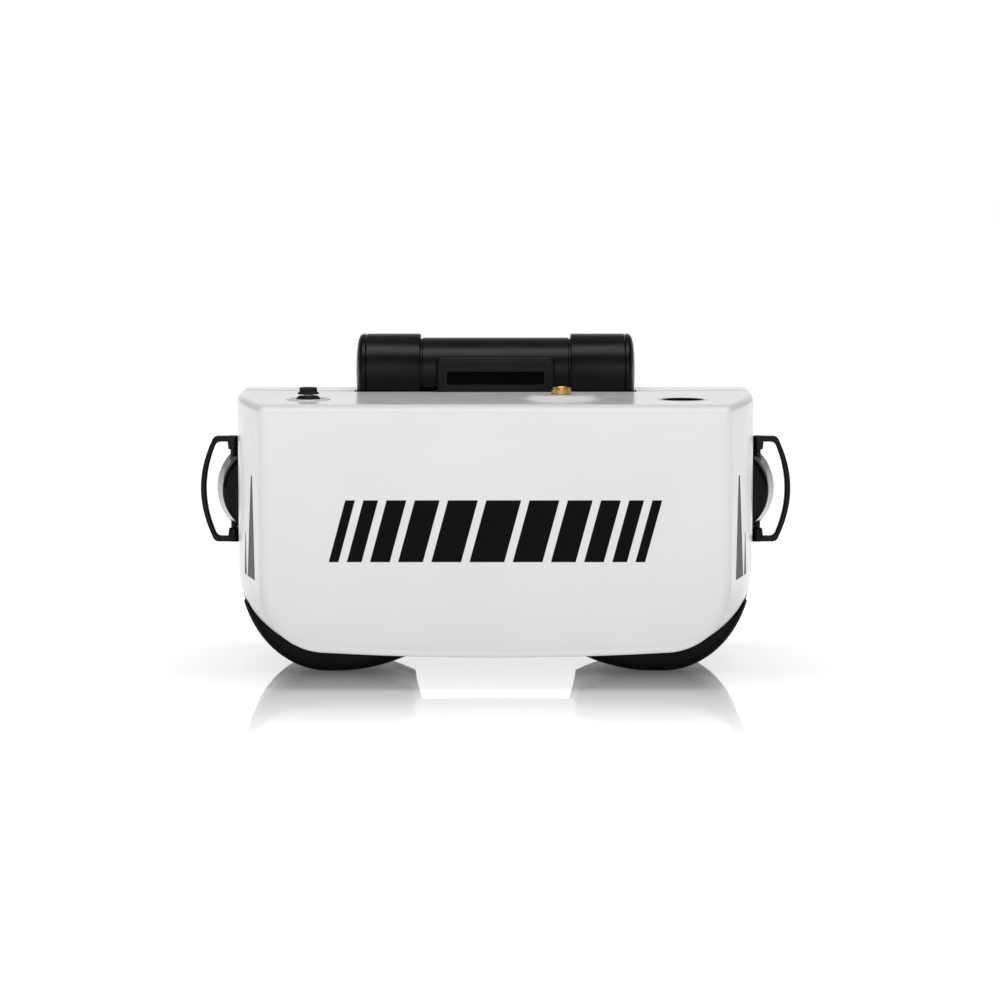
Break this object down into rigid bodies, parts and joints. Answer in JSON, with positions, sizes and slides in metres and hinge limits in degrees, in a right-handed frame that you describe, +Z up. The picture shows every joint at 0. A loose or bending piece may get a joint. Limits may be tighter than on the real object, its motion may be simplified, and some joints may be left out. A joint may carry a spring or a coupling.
{
  "type": "fpv goggles",
  "caption": "Box-shaped FPV goggles with a white casing, a forehead battery tube, a padded face frame, a top joystick and swinging side strap loops.",
  "frame": {"origin": "on the table under the middle of the goggles' outer box", "axes": "+X to the right as seen from the front panel, -Y out of the front panel, +Z up"},
  "size_m": [0.1944, 0.096, 0.1072],
  "materials": {
    "white_shell": "smooth glossy white moulding",
    "black_plastic": "fine satin black moulding",
    "black_gloss": "semi-gloss black moulding",
    "foam": "soft black foam with a knitted face",
    "rubber": "matt black rubber",
    "lens_glass": "clear polished lens",
    "screen": "dark glossy panel",
    "circuit_board": "green solder mask",
    "cream_plastic": "cream insulating plastic",
    "gold": "gold plate",
    "steel": "plain machined steel",
    "cell_wrap": "blue shrink wrap"
  },
  "bodies": {
    "goggles": {"front_shell": "white_shell", "rear_shell": "white_shell", "faceplate": "black_plastic", "face_pad": "foam", "light_hood": "black_plastic", "lens": "lens_glass", "lens_bezel": "black_plastic", "display_panel": "screen", "display_backlight": "steel", "display_carrier": "black_plastic", "eye_frame": "black_plastic", "frame_screw_low_left": "steel", "frame_screw_high_left": "steel", "frame_screw_low_right": "steel", "frame_screw_high_right": "steel", "main_board": "circuit_board", "board_screw_low_left": "steel", "board_screw_high_left": "steel", "board_screw_low_right": "steel", "board_screw_high_right": "steel", "receiver_module": "steel", "patch_antenna": "cream_plastic", "speaker": "black_plastic", "dc_jack": "black_plastic", "av_jack": "black_plastic", "card_slot": "steel", "sma_jack": "gold", "sma_insulator": "cream_plastic", "joystick_collar": "white_shell", "button_collar": "white_shell", "joystick_switch": "steel", "power_switch": "steel", "battery_housing": "black_gloss", "battery_cell": "cell_wrap", "housing_bracket": "black_plastic", "bracket_screw_left": "steel", "bracket_screw_right": "steel", "hinge_pin_left": "steel", "hinge_pin_right": "steel"},
    "strap_loop_left": {"strap_loop_left": "black_gloss"},
    "strap_loop_right": {"strap_loop_right": "black_gloss"},
    "joystick_gimbal": {"joystick_gimbal": "steel"},
    "joystick_stick": {"joystick_stick": "steel", "joystick_boot": "rubber"},
    "joystick_cap": {"joystick_cap": "rubber"},
    "power_button": {"power_button": "black_plastic"},
    "battery_cap_left": {"battery_cap_left": "black_gloss"},
    "battery_cap_right": {"battery_cap_right": "black_gloss", "battery_spring": "steel", "battery_contact": "gold"}
  },
  "joints": [
    {"name": "strap_loop_left_swing", "type": "hinge", "parent": "goggles", "child": "strap_loop_left", "pos_m": [-0.0864, 0.026, 0.0555], "axis": [0, 0, -1], "range_deg": [-10, 85]},
    {"name": "strap_loop_right_swing", "type": "hinge", "parent": "goggles", "child": "strap_loop_right", "pos_m": [0.0864, 0.026, 0.0555], "axis": [0, 0, 1], "range_deg": [-10, 85]},
    {"name": "joystick_tilt_y", "type": "hinge", "parent": "goggles", "child": "joystick_gimbal", "pos_m": [-0.05875, -0.025, 0.0832], "axis": [1, 0, 0], "range_deg": [-10, 10], "stiffness_Nm_per_rad": 0.02},
    {"name": "joystick_tilt_x", "type": "hinge", "parent": "joystick_gimbal", "child": "joystick_stick", "pos_m": [-0.05875, -0.025, 0.0832], "axis": [0, 1, 0], "range_deg": [-10, 10], "stiffness_Nm_per_rad": 0.02},
    {"name": "joystick_press", "type": "slide", "parent": "joystick_stick", "child": "joystick_cap", "axis": [0, 0, -1], "range_m": [0, 0.0004], "stiffness_N_per_m": 1500},
    {"name": "power_button_press", "type": "slide", "parent": "goggles", "child": "power_button", "axis": [0, 0, -1], "range_m": [0, 0.0004], "stiffness_N_per_m": 1500},
    {"name": "battery_cap_left_turn", "type": "hinge", "parent": "goggles", "child": "battery_cap_left", "pos_m": [-0.0454, 0.017, 0.0952], "axis": [-1, 0, 0], "range_deg": [0, 90]},
    {"name": "battery_cap_right_turn", "type": "hinge", "parent": "goggles", "child": "battery_cap_right", "pos_m": [0.0454, 0.017, 0.0952], "axis": [1, 0, 0], "range_deg": [0, 90]}
  ]
}
